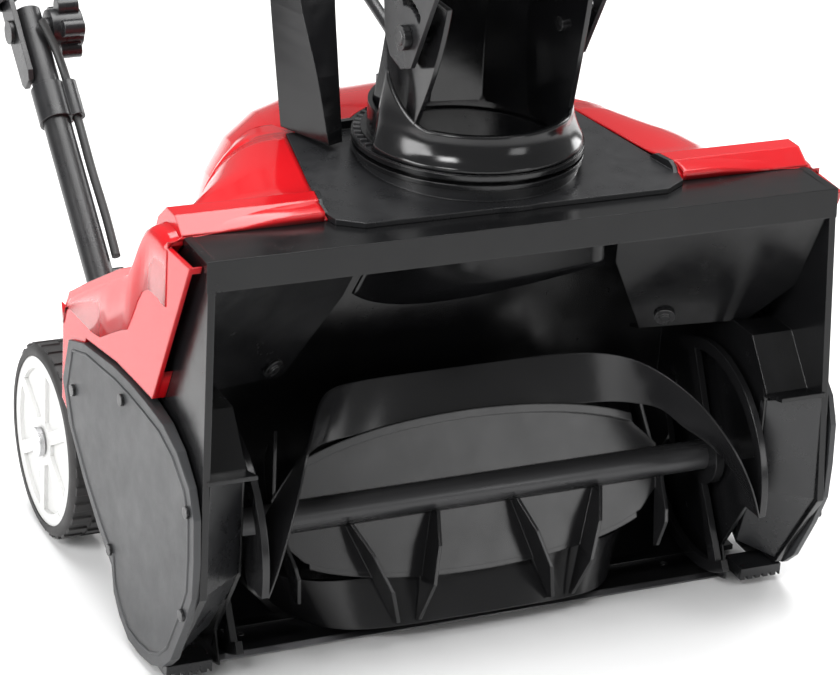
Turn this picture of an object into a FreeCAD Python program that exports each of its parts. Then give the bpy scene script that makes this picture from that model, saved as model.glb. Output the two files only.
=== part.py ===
import FreeCAD, Part
import math
import os

V = FreeCAD.Vector

# ---------------------------------------------------------------- driving dimensions (mm)
# Working frame: x across the machine (0 = middle), y rearwards from the mouth's kink, z up
# from the ground. main() moves everything so that the origin is the bottom centre of the box.

INTAKE_HALF = 235.0          # half the width over the auger housing, at mid height
SIDE_TILT = 1.57             # the side walls lean in towards the top, degrees
WALL = 5.0                   # auger housing side wall
RIM_TOP = 324.3              # top front rim
RIM_Y = 20.3
KINK_Z = 91.8                # the mouth's front edge turns back below this
TOE_Y = 48.7
TOE_Z = 17.8
DECK_Z = 324.0

ROTOR_Y = 90.0
ROTOR_Z = 93.5
ROTOR_R = 87.5
ROTOR_HALF = 192.0
SHAFT_R = 11.0
JOURNAL_R = 8.0
PADDLE_LEAN = -25.0          # the upper paddle's middle, degrees forward of straight up
INNER_WALL = 197.0           # the belt's chamber lies outside the rotor's side walls
SCROLL_R = 92.0
SCROLL_WALL = 4.0
BACK_Y = ROTOR_Y + SCROLL_R

RING_Y = 131.6
RING_Z = 342.0               # middle of the chute's double flange
RING_R = 80.4
THROAT_R = 66.0
CHUTE_R = 70.0
CHUTE_TOP = 462.0
CHUTE_HALF = 53.0
PIVOT_Y = 100.0              # deflector hinge
PIVOT_Z = 433.0

WHEEL_Y = 293.2
WHEEL_R = 72.9
WHEEL_W = 36.0
WHEEL_OUT = 250.5
AXLE_R = 6.0

TUBE_X = 200.0
TUBE_R = 10.5
TUBE_WALL = 1.2
TUBE_BASE = (299.0, 176.1)   # y, z where the lower tube leaves the shroud
TUBE_SLOPE = 38.95
FOLD_Y = 480.0
FOLD_RUN = 172.0             # slanted length of lower tube from the fold bolt down to its base
UPPER_X = 213.0
UPPER_LEN = 880.0            # fold bolt to the bend below the grip
GRIP_TURN = 20.0             # the grip end is that much flatter, degrees
GRIP_LEN = 250.0
BEND_R = 90.0
CORNER_R = 75.0

MOTOR_Y = 224.0
MOTOR_Z = 180.0
MOTOR_R = 36.0
MOTOR_HALF = 85.0
DRIVE_R = 10.0
DRIVEN_R = 46.0
BELT_X = -216.0              # middle of the belt's plane
BELT_W = 12.0
RUN = 0.05                   # radial running clearance of a shaft in its bearing

SLOPE = math.radians(TUBE_SLOPE)
ALONG = V(0, math.cos(SLOPE), math.sin(SLOPE))
ABOVE = V(0, -math.sin(SLOPE), math.cos(SLOPE))
FOLD = V(0, FOLD_Y, TUBE_BASE[1] + (FOLD_Y - TUBE_BASE[0]) * math.tan(SLOPE))
ROTOR = V(0, ROTOR_Y, ROTOR_Z)
X = V(1, 0, 0)
Y = V(0, 1, 0)
Z = V(0, 0, 1)


# ---------------------------------------------------------------- helpers

def box(x0, x1, y0, y1, z0, z1):
    return Part.makeBox(x1 - x0, y1 - y0, z1 - z0, V(x0, y0, z0))


def rod(start, axis, radius, length):
    return Part.makeCylinder(radius, length, start, axis)


def pipe(start, axis, outer, inner, length):
    return rod(start, axis, outer, length).cut(rod(start, axis, inner, length))


def slab(corners, push):
    """A flat polygon pushed along a vector."""
    face = Part.Face(Part.makePolygon(list(corners) + [corners[0]]))
    return face.extrude(push)


def profile_x(points, x0, x1):
    """A polygon of (y, z) points, from x0 to x1."""
    return slab([V(x0, y, z) for y, z in points], V(x1 - x0, 0, 0))


def union(shapes):
    whole = shapes[0]
    if len(shapes) > 1:
        whole = whole.fuse(shapes[1:])
    return whole.removeSplitter()


def loft(sections, smooth=True):
    wires = [Part.makePolygon(list(s) + [s[0]]) for s in sections]
    return Part.makeLoft(wires, True, not smooth)


def eased(sections, steps):
    """More sections between the given ones, each corner on a smooth curve through them."""
    finer = []
    last = len(sections) - 1
    for i in range(last):
        before, after = sections[max(i - 1, 0)], sections[min(i + 2, last)]
        for k in range(steps):
            t = k / steps
            ring = []
            for a, b, c, d in zip(before, sections[i], sections[i + 1], after):
                ring.append((b * 2 + (c - a) * t + (a * 2 - b * 5 + c * 4 - d) * t ** 2
                             + (b * 3 - a - c * 3 + d) * t ** 3) * 0.5)
            finer.append(ring)
    return finer + [sections[-1]]


def mirror(shape):
    return shape.mirror(V(0, 0, 0), X)


def turned(shape, centre, axis, degrees):
    other = shape.copy()
    other.rotate(centre, axis, degrees)
    return other


def try_fillet(shape, radius, choose):
    """Round the chosen edges; keep the sharp shape where the kernel can't."""
    edges = [e for e in shape.Edges if choose(e)]
    if not edges:
        return shape
    try:
        rounded = shape.makeFillet(radius, edges)
    except Part.OCCError:
        return shape
    if rounded.isValid() and rounded.Volume > 0:
        return rounded
    return shape


def tapered_slab(x_mid, thickness):
    """The space of one leaning side wall; x_mid is its outer face at mid height."""
    sign = 1 if x_mid > 0 else -1
    inner = x_mid - sign * thickness
    low, high = min(x_mid, inner), max(x_mid, inner)
    space = box(low, high, -60, 420, -60, 420)
    return turned(space, V(x_mid, 0, 171), Y, -sign * SIDE_TILT)


def side_x(z, sign):
    """x of the side wall's outer face at height z."""
    return sign * (INTAKE_HALF - (z - 171) * math.tan(math.radians(SIDE_TILT)))


def polar(radius, forward, x=0.0):
    """A point about the rotor's axis; forward is degrees from straight up towards the mouth."""
    turn = math.radians(forward)
    return V(x, ROTOR_Y - radius * math.sin(turn), ROTOR_Z + radius * math.cos(turn))


# ---------------------------------------------------------------- auger housing

SIDE_OUTLINE = [(RIM_Y, RIM_TOP), (0, KINK_Z), (TOE_Y, TOE_Z), (64, 8), (84, 4.5), (106, 5),
                (133, 26), (165, 62), (200, 104), (206, 150), (206, 229), (142, 268), (93, 293),
                (92, 320), (64, RIM_TOP)]
# outboard of the deck the housing's top slopes down to the rear under the shroud
SHOULDER_X = 140.0
SHOULDER = [(92, 320), (93, 293), (142, 268), (206, 229)]


def side_wall(sign):
    wall = profile_x(SIDE_OUTLINE, -300, 300)
    return wall.common(tapered_slab(sign * INTAKE_HALF, WALL))


def scroll():
    """The curved wall behind the rotor, from the floor lip up to the deck."""
    outer_r = SCROLL_R + SCROLL_WALL
    first = math.acos((ROTOR_Z - 0.6) / outer_r)
    half = first / 2 + math.pi / 4
    out = [V(-231, ROTOR_Y + outer_r * math.sin(a), ROTOR_Z - outer_r * math.cos(a))
           for a in (first, half, math.pi / 2)]
    ins = [V(-231, ROTOR_Y + SCROLL_R * math.sin(a), ROTOR_Z - SCROLL_R * math.cos(a))
           for a in (first, half, math.pi / 2)]
    top_out = V(-231, BACK_Y + SCROLL_WALL, 318)
    top_in = V(-231, BACK_Y, 318)
    edges = [Part.Arc(*out).toShape(), Part.makeLine(out[2], top_out),
             Part.makeLine(top_out, top_in), Part.makeLine(top_in, ins[2]),
             Part.Arc(ins[2], ins[1], ins[0]).toShape(), Part.makeLine(ins[0], out[0])]
    wall = Part.Face(Part.Wire(edges)).extrude(V(462, 0, 0))
    for sign in (-1, 1):
        x0 = INNER_WALL + 3 if sign > 0 else -240
        wall = wall.cut(box(x0, x0 + 240 - INNER_WALL - 3, 60, 200, 24, 203))
    return wall


CEILING = [(6, 172), (28, 166), (56, 200), (206, 200), (206, 203), (54.5, 203), (27, 169.5),
           (6, 175)]


def rotor_side(sign):
    """Side of the rotor's chamber, with the ceiling of the belt's space beside it."""
    x0 = INNER_WALL if sign > 0 else -INNER_WALL - 3
    outline = [(29, 163), (29, 90), (66, 30), (72, 12), (100, 6), (118, 8), (150, 40), (184, 90),
               (184, 203), (56, 203), (34, 175)]
    plate = profile_x(outline, x0, x0 + 3)
    lid = profile_x(CEILING, min(x0, sign * 232), max(x0 + 3, sign * 232))
    return union([plate, lid])


def shoulder_space(sign, gap, top):
    """The room over one sloping shoulder of the housing, up to the height top."""
    inner = sign * (SHOULDER_X + gap)
    outline = [(y + gap, z + gap) for y, z in SHOULDER] + [(260, 199), (260, top), (92 + gap, top)]
    return profile_x(outline, min(inner, sign * 260), max(inner, sign * 260))


def shoulder_plates(sign):
    """The sloping top of one shoulder and the upright plate beside the throat."""
    under = [(186, 237.8), (142, 264.6), (90, 290.9), (89, 320)]
    inner = sign * (SHOULDER_X - 3)
    slope = profile_x(SHOULDER[:3] + [(186, 241.2)] + under,
                      min(inner, sign * 232), max(inner, sign * 232))
    upright = profile_x([(186, 320)] + under, min(inner, sign * SHOULDER_X),
                        max(inner, sign * SHOULDER_X))
    return union([slope, upright])


def on_plane(a, b, c, x, z):
    """The point at x, z on the plane through a, b and c."""
    normal = (b - a).cross(c - a)
    y = a.y - (normal.x * (x - a.x) + normal.z * (z - a.z)) / normal.y
    return V(x, y, z)


def mouth_flange(sign):
    """The funnel plate inside one lower front corner: an upright part and a swept-back toe."""
    outer_top = V(sign * 234.5, 3, 175)
    inner_top = V(sign * 197, 30, 162)
    outer_kink = on_plane(outer_top, inner_top, V(sign * 197, 30, 0), sign * 236.5, KINK_Z)
    inner_kink = on_plane(outer_top, inner_top, V(sign * 197, 30, 0), sign * 196, KINK_Z)
    shelf = on_plane(outer_top, inner_top, V(sign * 197, 30, 0), sign * 223, 172)
    outer_toe = V(sign * 238.5, TOE_Y, TOE_Z + 1)
    inner_toe = on_plane(outer_kink, inner_kink, outer_toe, sign * 207, 34)
    upright = slab([outer_top, shelf, inner_top, inner_kink, outer_kink], V(0, 4, 0))
    toe = slab([outer_kink, inner_kink, inner_toe, outer_toe], V(0, 4, 2))
    return upright, toe


def auger_housing():
    pieces = [side_wall(1), side_wall(-1), scroll(), rotor_side(1), rotor_side(-1)]
    # flat floor lip under the rotor, behind the scraper bar
    pieces.append(box(-231, 231, 104, 118, 0.6, 4.6))
    # roof, front lip and the two folds that stiffen it
    pieces.append(box(-232, 232, RIM_Y, BACK_Y + SCROLL_WALL, 319, DECK_Z))
    lip = [(RIM_Y, RIM_TOP), (RIM_Y - 1.8, 303.5), (RIM_Y + 2.2, 303.5), (RIM_Y + 5, 319),
           (RIM_Y + 20, 319), (RIM_Y + 20, DECK_Z)]
    pieces.append(profile_x(lip, -232, 232))
    body = union(pieces)
    for sign in (-1, 1):
        body = body.cut(shoulder_space(sign, 0.0, 330)).fuse(shoulder_plates(sign))
    body = body.removeSplitter()
    # throat through the roof and bores for the shaft bearings
    body = body.cut(rod(V(0, RING_Y, 300), Z, THROAT_R, 60))
    for x0 in (-260, 220):
        body = body.cut(rod(V(x0, ROTOR_Y, ROTOR_Z), X, 19.0, 40))
    return body.cut(rod(V(-260, ROTOR_Y, ROTOR_Z), X, 12.5, 520))


def mouth_corner(sign):
    upright, toe = mouth_flange(sign)
    space = box(-300, 0, -50, 200, -10, 300) if sign < 0 else box(0, 300, -50, 200, -10, 300)
    space = space.cut(box(-400, 400, -60, 420, -60, 420).cut(inside_width(WALL)))
    return union([upright, toe]).common(space)


def inside_width(gap, z0=-60.0, z1=420.0, y0=-60.0, y1=420.0):
    """Everything between the two leaning side walls, gap inside their outer faces."""
    lean = math.tan(math.radians(SIDE_TILT))
    bottom = INTAKE_HALF - (z0 - 171) * lean - gap
    top = INTAKE_HALF - (z1 - 171) * lean - gap
    return slab([V(-bottom, y0, z0), V(bottom, y0, z0), V(top, y0, z1), V(-top, y0, z1)],
                V(0, y1 - y0, 0))


def scraper_bar():
    bar = box(-204, 204, 74, 104, 0.0, 3.2)
    nose = profile_x([(70, 0.0), (74, 0.0), (74, 3.2)], -204, 204)
    body = union([bar, nose])
    for x in SCRAPER_HOLES:
        body = body.cut(rod(V(x, 96, -1), Z, 2.6, 8))
    return body


SCRAPER_HOLES = (-168, -84, 0, 84, 168)


def scraper_screws():
    screws = []
    for x in SCRAPER_HOLES:
        screws.append(rod(V(x, 96, 0.2), Z, 2.5, 3.0))
    return Part.makeCompound(screws)


def toe_skid(sign):
    """Ribbed wear foot under the toe of one side wall."""
    x0 = 207 if sign > 0 else -240
    foot = box(x0, x0 + 33, 50, 74, 6, 15)
    for i in range(5):
        x = x0 + 3.5 + i * 6.5
        foot = foot.cut(box(x, x + 2.5, 49, 75, 5, 8.5))
    return foot


BAFFLE_SCREW = (151.0, 205.0)    # x and z of the screw near a baffle's lower inner corner


def baffle(sign):
    """The plate that narrows the mouth's upper corner towards the throat, with a folded wing."""
    corner_low, corner_in, corner_out = baffle_corners(sign)
    high = 302
    plate_out = on_plane(corner_low, corner_in, corner_out, sign * 229, 240)
    edge_low = on_plane(corner_low, corner_in, corner_out, sign * 104, 254)
    edge_high = on_plane(corner_low, corner_in, corner_out, sign * 93, high)
    front = [corner_low, corner_in, edge_low, edge_high, corner_out, plate_out]
    normal = (corner_in - corner_low).cross(corner_out - corner_low).normalize()
    if normal.y < 0:
        normal = normal * -1.0
    plate = slab(front, normal * 3.0)
    # folded lip along the lower edge, turned back under the plate
    turn = V(0, 14, -5)
    lip = slab([corner_low, corner_in, corner_in + turn, corner_low + turn], V(0, 0.8, 2.6))
    return union([plate, lip])


def baffle_corners(sign):
    """Lower outer, lower inner and upper outer corner of a baffle's front face."""
    return V(sign * 207, 80, 203), V(sign * 138, 113, 191), V(sign * 229, 22, 302)


def baffle_screws():
    screws = []
    for sign in (-1, 1):
        low, inner, outer = baffle_corners(sign)
        out = (inner - low).cross(outer - low).normalize()
        if out.y > 0:
            out = out * -1.0
        at = on_plane(low, inner, outer, sign * BAFFLE_SCREW[0], BAFFLE_SCREW[1])
        head = rod(at, out, 7.5, 2.6)
        boss = rod(at, out, 3.6, 4.2)
        screws.append(head.fuse(boss).removeSplitter())
    return Part.makeCompound(screws)


# ---------------------------------------------------------------- rotor

EDGE_X = (0, 30, 66, 92, 112, 126, 139, 152, 163, 173, 181, 187)
EDGE_TURN = (0, 0.5, 3, 10, 21, 34, 49, 65, 80, 95, 109, 121)


def edge_turn(x):
    """How far the paddle's edge runs ahead of its middle at x, in degrees."""
    x = abs(x)
    for i in range(len(EDGE_X) - 1):
        if x <= EDGE_X[i + 1]:
            part = (x - EDGE_X[i]) / (EDGE_X[i + 1] - EDGE_X[i])
            return EDGE_TURN[i] + part * (EDGE_TURN[i + 1] - EDGE_TURN[i])
    return EDGE_TURN[-1]


def web_radius(x):
    """The D-shaped web's rim."""
    return 12 + 40 * math.sqrt(max(0.0, 1 - (x / 150.0) ** 2))


def paddle_section(x):
    """One cross-section of the paddle's band, a thin closed strip."""
    turn = PADDLE_LEAN + edge_turn(x)
    reach = min(abs(x) / 150.0, 1.0)
    inner_r = web_radius(x) + 3 + 34 * reach ** 4
    inner_r = min(inner_r, ROTOR_R - 22)
    lead = 8.0 * (1 - reach) + 2.0
    inner_turn = turn - 0.12 * edge_turn(x) + lead
    thick = 3.4 / ROTOR_R * 57.3
    inner_thick = 3.4 / inner_r * 57.3
    return [polar(inner_r, inner_turn, x), polar(ROTOR_R, turn + 1.0, x),
            polar(ROTOR_R, turn + 1.0 - thick, x), polar(inner_r, inner_turn - inner_thick, x)]


def paddle():
    xs = [-x for x in reversed(EDGE_X[1:])] + list(EDGE_X)
    band = loft([paddle_section(x) for x in xs])
    # flat D-shaped web from the shaft to the band's root, with a step at its rim
    count = 16
    rim = []
    for i in range(count + 1):
        x = -150 + 300 * i / count
        rim.append(polar(web_radius(x) + 1.5, PADDLE_LEAN, x))
    ahead = polar(1.0, PADDLE_LEAN + 90) - ROTOR
    corners = [polar(9, PADDLE_LEAN, -150)] + rim + [polar(9, PADDLE_LEAN, 150)]
    web = slab([p - ahead * 1.6 for p in corners], ahead * 3.2)
    step = []
    for i in range(count + 1):
        x = -128 + 256 * i / count
        rim_r = web_radius(x)
        step.append([polar(rim_r - 1, PADDLE_LEAN, x) - ahead * 1.5,
                     polar(rim_r + 5, PADDLE_LEAN, x) - ahead * 1.5,
                     polar(rim_r + 5, PADDLE_LEAN, x) + ahead * 12,
                     polar(rim_r - 1, PADDLE_LEAN, x) + ahead * 12])
    ledge = loft(step)
    pieces = [band, web, ledge]
    # the ribs on the trailing side stand in two V pairs, with one at each end of the web
    for root, tip in ((-97, -68), (-31, -52), (31, 52), (97, 68), (-148, -140), (148, 140)):
        reach = ROTOR_R - 3 if abs(root) < 120 else 60
        depth = 24 if abs(root) < 120 else 18
        outline = []
        for radius, back in ((10, 0), (reach, 0), (reach, 5), (reach * 0.72, depth), (34, depth),
                             (10, depth / 2)):
            x = root + (tip - root) * (radius - 10) / (reach - 10)
            outline.append(polar(radius, PADDLE_LEAN, x - 1.3) - ahead * back)
        pieces.append(slab(outline, V(2.6, 0, 0)))
    return pieces


def end_arc(sign):
    """The side rim of the rotor: a curved arm from the shaft to the paddle's forward tip."""
    x0 = sign * (ROTOR_HALF - 5) if sign > 0 else sign * ROTOR_HALF
    start, stop = PADDLE_LEAN - 8, PADDLE_LEAN + 121
    points_out = [polar(ROTOR_R, start + (stop - start) * i / 2, x0) for i in range(3)]
    points_in = [polar(ROTOR_R - 9, start + (stop - start) * i / 2, x0) for i in range(3)]
    edges = [Part.Arc(*points_out).toShape(), Part.makeLine(points_out[2], points_in[2]),
             Part.Arc(points_in[2], points_in[1], points_in[0]).toShape(),
             Part.makeLine(points_in[0], points_out[0])]
    rim = Part.Face(Part.Wire(edges)).extrude(V(5, 0, 0))
    foot = [polar(ROTOR_R - 40, stop - 26, x0), polar(ROTOR_R - 2, stop - 30, x0),
            polar(ROTOR_R, stop, x0), polar(ROTOR_R - 28, stop + 4, x0)]
    plate = slab(foot, V(5, 0, 0))
    spoke = [polar(9, start + 60, x0), polar(ROTOR_R - 3, start + 6, x0),
             polar(ROTOR_R - 3, start - 6 + 20, x0), polar(14, start + 120, x0)]
    arm = slab(spoke, V(5, 0, 0))
    hub_x = x0 if sign > 0 else x0 - 2
    hub = rod(V(hub_x, ROTOR_Y, ROTOR_Z), X, 22, 7)
    return [rim, plate, arm, hub]


def rotor_half():
    pieces = paddle() + end_arc(1) + end_arc(-1)
    half = union(pieces)
    half = half.common(rod(V(-240, ROTOR_Y, ROTOR_Z), X, ROTOR_R + 0.3, 480))
    return half.cut(rod(V(-240, ROTOR_Y, ROTOR_Z), X, SHAFT_R + 0.02, 480))


def auger_shaft():
    shaft = rod(V(-196, ROTOR_Y, ROTOR_Z), X, SHAFT_R, 392)
    journal = rod(V(-228, ROTOR_Y, ROTOR_Z), X, JOURNAL_R, 467)
    return union([shaft, journal])


def bearing(sign):
    x0 = 224.5 if sign > 0 else -239.5
    ring = rod(V(x0, ROTOR_Y, ROTOR_Z), X, 18.9, 15)
    return ring.cut(rod(V(x0 - 1, ROTOR_Y, ROTOR_Z), X, JOURNAL_R + RUN, 17))


# ---------------------------------------------------------------- drive

def pulley(centre, radius, bore, hub_r):
    """A flat-belt pulley with two flanges and a ribbed hub."""
    x0 = centre.x - BELT_W / 2 - 2.0
    rim = rod(V(x0, centre.y, centre.z), X, radius, BELT_W + 4)
    flange = rod(V(x0, centre.y, centre.z), X, radius + 3, 1.6)
    far = rod(V(x0 + BELT_W + 2.4, centre.y, centre.z), X, radius + 3, 1.6)
    body = union([rim, flange, far])
    if radius > 30:
        for start in (x0 - 1, x0 + BELT_W + 0.5):
            recess = pipe(V(start, centre.y, centre.z), X, radius - 7, hub_r, 4.5)
            body = body.cut(recess)
        for i in range(6):
            turn = math.radians(60 * i + 30)
            hole = V(x0 - 2, centre.y + 28 * math.cos(turn), centre.z + 28 * math.sin(turn))
            body = body.cut(rod(hole, X, 6.5, BELT_W + 8))
    return body.cut(rod(V(x0 - 2, centre.y, centre.z), X, bore, BELT_W + 8))


def driven_pulley():
    return pulley(V(BELT_X, ROTOR_Y, ROTOR_Z), DRIVEN_R, JOURNAL_R, 16)


def drive_pulley():
    return pulley(V(BELT_X, MOTOR_Y, MOTOR_Z), DRIVE_R, 5.0, 8)


def belt_path(extra):
    """The belt's outline as a face: two arcs and two tangent runs, extra outside the pulleys."""
    big = DRIVEN_R + extra
    small = DRIVE_R + extra
    dy = MOTOR_Y - ROTOR_Y
    dz = MOTOR_Z - ROTOR_Z
    span = math.hypot(dy, dz)
    base = math.atan2(dz, dy)
    swing = math.acos((big - small) / span)
    x0 = BELT_X - BELT_W / 2 + 0.8

    def on(centre_y, centre_z, radius, angle):
        return V(x0, centre_y + radius * math.cos(angle), centre_z + radius * math.sin(angle))

    a1 = on(ROTOR_Y, ROTOR_Z, big, base + swing)
    a2 = on(ROTOR_Y, ROTOR_Z, big, base + math.pi)
    a3 = on(ROTOR_Y, ROTOR_Z, big, base - swing)
    b1 = on(MOTOR_Y, MOTOR_Z, small, base - swing)
    b2 = on(MOTOR_Y, MOTOR_Z, small, base)
    b3 = on(MOTOR_Y, MOTOR_Z, small, base + swing)
    edges = [Part.Arc(a1, a2, a3).toShape(), Part.makeLine(a3, b1),
             Part.Arc(b1, b2, b3).toShape(), Part.makeLine(b3, a1)]
    return Part.Face(Part.Wire(edges))


def drive_belt():
    width = BELT_W - 1.6
    outer = belt_path(3.4).extrude(V(width, 0, 0))
    inner = belt_path(0.3).extrude(V(width, 0, 0))
    return outer.cut(inner)


def motor_can():
    """Can with a cooling-slot ring at its right end and a foot on the housing's back."""
    can = rod(V(-MOTOR_HALF, MOTOR_Y, MOTOR_Z), X, MOTOR_R, 2 * MOTOR_HALF)
    bell = rod(V(-MOTOR_HALF - 12, MOTOR_Y, MOTOR_Z), X, MOTOR_R - 12, 12)
    feet = []
    for x0 in (-64, 44):
        feet.append(box(x0, x0 + 20, BACK_Y + SCROLL_WALL, MOTOR_Y, MOTOR_Z - 8, MOTOR_Z + 8))
    body = union([can, bell] + feet)
    for i in range(10):
        slot = box(MOTOR_HALF - 16, MOTOR_HALF - 6, -2.5, 2.5, MOTOR_R - 4, MOTOR_R + 3)
        slot.rotate(V(0, 0, 0), X, 36 * i)
        slot.translate(V(0, MOTOR_Y, MOTOR_Z))
        body = body.cut(slot)
    return body.cut(rod(V(-200, MOTOR_Y, MOTOR_Z), X, 5.0 + RUN, 400))


def motor_shaft():
    return rod(V(-226, MOTOR_Y, MOTOR_Z), X, 5.0, 340)


def motor_fan():
    """Cooling fan beyond the can's right end."""
    x0 = MOTOR_HALF + 5
    disc = rod(V(x0, MOTOR_Y, MOTOR_Z), X, 31, 2.5)
    boss = rod(V(x0, MOTOR_Y, MOTOR_Z), X, 10, 16)
    blades = []
    for i in range(9):
        blade = box(x0 + 2, x0 + 14, -1.0, 1.0, 9, 31)
        blade.rotate(V(0, 0, 20), X, 18)
        blade.rotate(V(0, 0, 0), X, 40 * i)
        blade.translate(V(0, MOTOR_Y, MOTOR_Z))
        blades.append(blade)
    fan = union([disc, boss] + blades)
    return fan.cut(rod(V(x0 - 5, MOTOR_Y, MOTOR_Z), X, 5.0, 40))


# ---------------------------------------------------------------- covers and shroud

COVER_OUTLINE = [(226, 184), (199, 193), (173, 196), (144, 199.5), (115, 200), (88, 198.5),
                 (58, 195), (34, 186), (12, 169), (3, 150), (1, 120), (2, 93), (14, 66),
                 (34, 30), (48, 17), (66, 9), (86, 6), (107, 7), (124, 17), (135, 30),
                 (140, 49), (166, 66), (194, 90), (209, 106), (224, 122), (236, 150)]


def cover_body(depth_in, depth_out):
    """A side cover between two depths, flaring outwards to the rear."""
    shape = profile_x(COVER_OUTLINE, -300, -180)
    low = slab([V(-238 - depth_out, 0, -40), V(-238 + depth_in, 0, -40),
                V(-250 + depth_in, 240, -40), V(-250 - depth_out, 240, -40)], V(0, 0, 400))
    return shape.common(low)


def belt_cover():
    """Left cover: a flared plate on a rim that stands off the housing's side."""
    skin = cover_body(0.0, 4.0)
    skin = try_fillet(skin, 2.5, lambda e: max(v.X for v in e.Vertexes) < -241.9 and e.Length > 8)
    rim_space = profile_x(COVER_OUTLINE, -300, -180)
    inset = profile_x(inset_outline(COVER_OUTLINE, 3.2), -301, -179)
    rim = rim_space.cut(inset).common(slab([V(-241, 0, -40), V(-237, 0, -40), V(-237, 240, -40),
                                            V(-251, 240, -40)], V(0, 0, 400)))
    return union([skin, rim])


def inset_outline(points, gap):
    """Points of a closed outline moved towards its middle by about gap."""
    cy = sum(p[0] for p in points) / len(points)
    cz = sum(p[1] for p in points) / len(points)
    moved = []
    for y, z in points:
        reach = math.hypot(y - cy, z - cz)
        moved.append((y - (y - cy) * gap / reach, z - (z - cz) * gap / reach))
    return moved


COVER_SCREWS = ((127, 182), (13, 152), (16, 74), (142, 60), (215, 150))


def cover_screws():
    heads = []
    for y, z in COVER_SCREWS:
        x = 242.0 + 0.05 * y
        for x0 in (-x - 2.2, x):
            heads.append(rod(V(x0, y, z), X, 4.2, 2.2))
    return Part.makeCompound(heads)


def dome():
    """The motor hood behind the deck."""
    rings = []
    for y, half, top, low in ((118, 172, 322, 200), (150, 170, 334, 190), (200, 165, 344, 180),
                              (250, 156, 342, 170), (295, 140, 326, 150), (330, 116, 292, 140),
                              (348, 96, 250, 140)):
        ring = []
        for turn in range(0, 181, 15):
            a = math.radians(turn)
            c, s = math.cos(a), math.sin(a)
            x = half * math.copysign(abs(c) ** 0.55, c)
            z = low + (top - low) * abs(s) ** 0.55
            ring.append(V(x, y, z))
        rings.append(ring)
    return rings


def shroud_skin(shift):
    """The outer form of the shroud, moved inwards by shift: hood, saddle and side pods."""
    rings = []
    for ring in dome():
        moved = []
        for p in ring:
            x = p.x - math.copysign(min(abs(p.x), shift), p.x)
            moved.append(V(x, p.y, p.z - shift))
        rings.append(moved)
    rings[-1] = [V(p.x, p.y - shift, p.z) for p in rings[-1]]
    hood = loft(rings)
    saddle = profile_x([(64, 200), (64, RIM_TOP + 1 - shift), (78, 334 - shift),
                        (93, 334 - shift), (108 - shift, 322 - shift), (126 - shift, 285),
                        (132 - shift, 200)], -(233 - shift), 233 - shift)
    pods = []
    for sign in (-1, 1):
        outline = [(26 + shift, 322 - shift), (64, 322 - shift), (90, 297 - shift),
                   (142, 272 - shift), (200, 238 - shift), (232 - shift, 218 - shift),
                   (243 - shift, 198), (243 - shift, 132), (226, 123), (200, 196),
                   (144, 202.5), (82 + shift, 202.5)]
        pod = slab([V(sign * (140 - shift), y, z) for y, z in outline], V(sign * 120, 0, 0))
        flare = slab([V(sign * 100, 0, 0), V(sign * (239.5 - shift), 0, 0),
                      V(sign * (252 - shift), 245, 0), V(sign * 100, 245, 0)], V(0, 0, 400))
        pods.append(pod.common(flare))
    return hood, saddle, pods


def motor_shroud():
    hood, saddle, pods = shroud_skin(0.0)
    outer = union([hood, saddle] + pods)
    hood_in, saddle_in, pods_in = shroud_skin(3.2)
    inner = union([hood_in, saddle_in] + pods_in)
    inner_low = inner.copy()
    inner_low.translate(V(0, 0, -6.0))
    # room for the black housing, its roof and the deck
    housing = inside_width(-0.3, -20, 319.4, -20, 206.5)
    roof = box(-232.2, 232.2, -20, 190, 300, DECK_Z + 0.2)
    for sign in (-1, 1):
        over = shoulder_space(sign, 0.3, 340)
        housing = housing.cut(over)
        roof = roof.cut(over)
    shell = outer.cut(housing)
    shell = shell.cut(inner).cut(inner_low)
    shell = shell.cut(box(-300, 300, -20, 63.5, 318, 330))
    shell = shell.cut(roof)
    shell = shell.cut(deck_outline(0.4, 280, 400))
    return biggest(shell)


def biggest(shape):
    return max(shape.Solids, key=lambda s: s.Volume)


def deck_outline(grow, z0, z1):
    """The deck panel's plan: wider in front, with rounded corners, and round behind the ring."""
    g = grow
    corners = [V(-(133 + g), 74, z0), V(-(129 + g), 56 - g, z0), V(-(112 + g), 45 - g, z0),
               V(112 + g, 45 - g, z0), V(129 + g, 56 - g, z0), V(133 + g, 74, z0),
               V(108 + g, 196 + g, z0), V(-(108 + g), 196 + g, z0)]
    plan = slab(corners, V(0, 0, z1 - z0))
    return plan.fuse(rod(V(0, RING_Y, z0), Z, 88 + g, z1 - z0)).removeSplitter()


def chute_deck():
    """Deck panel under the chute: it rises to the rear and has a rim against the hood."""
    wedge = profile_x([(30, DECK_Z + 0.2), (240, DECK_Z + 0.2), (240, 335.8), (205, 335.2),
                       (74, 328.5), (30, 327.5)], -150, 150)
    panel = deck_outline(0.0, 300, 400).common(wedge)
    hood, saddle = shroud_skin(0.0)[:2]
    rim = deck_outline(0.0, DECK_Z + 0.2, 400).cut(deck_outline(-3.0, 300, 420))
    rim = rim.common(union([hood, saddle]))
    collar = rod(V(0, RING_Y, DECK_Z + 0.2), Z, 77, 11.6)
    body = union([panel, collar, rim])
    return body.cut(rod(V(0, RING_Y, DECK_Z - 5), Z, THROAT_R, 40))


def throat():
    """The short sleeve that joins the housing's roof to the chute."""
    return pipe(V(0, RING_Y, 301), Z, THROAT_R - 0.02, THROAT_R - 3.2, 41)


def leg_section(z, corners):
    return [V(x, y, z) for x, y in corners]


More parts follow.
